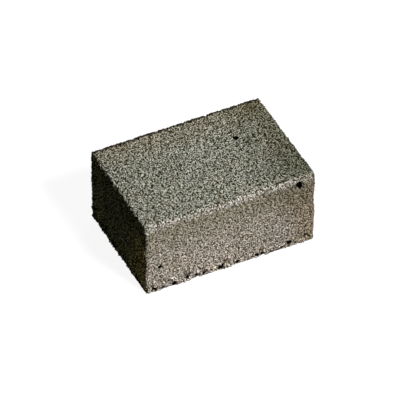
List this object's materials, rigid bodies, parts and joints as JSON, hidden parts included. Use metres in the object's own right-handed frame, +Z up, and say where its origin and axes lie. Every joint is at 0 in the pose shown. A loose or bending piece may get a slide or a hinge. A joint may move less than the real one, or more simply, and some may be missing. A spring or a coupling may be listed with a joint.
{
  "type": "sharpening whetstone",
  "caption": "Hand-held rectangular block of coarse bonded grit that grinds and sharpens carving blades, with worn upper arrises, open pores and a crumbled base edge.",
  "frame": {"origin": "centre of the rectangular base, on the surface that the block rests on", "axes": "+X along the block's length towards the end nearest the large pore, -Y out of the front face that holds the large pore, +Z up out of the working face"},
  "size_m": [0.075, 0.0516, 0.036],
  "materials": {
    "bonded_grit": "coarse open-grained fired abrasive, dull grey with a warm olive cast"
  },
  "bodies": {
    "root": {"whetstone_block": "bonded_grit"}
  },
  "joints": []
}
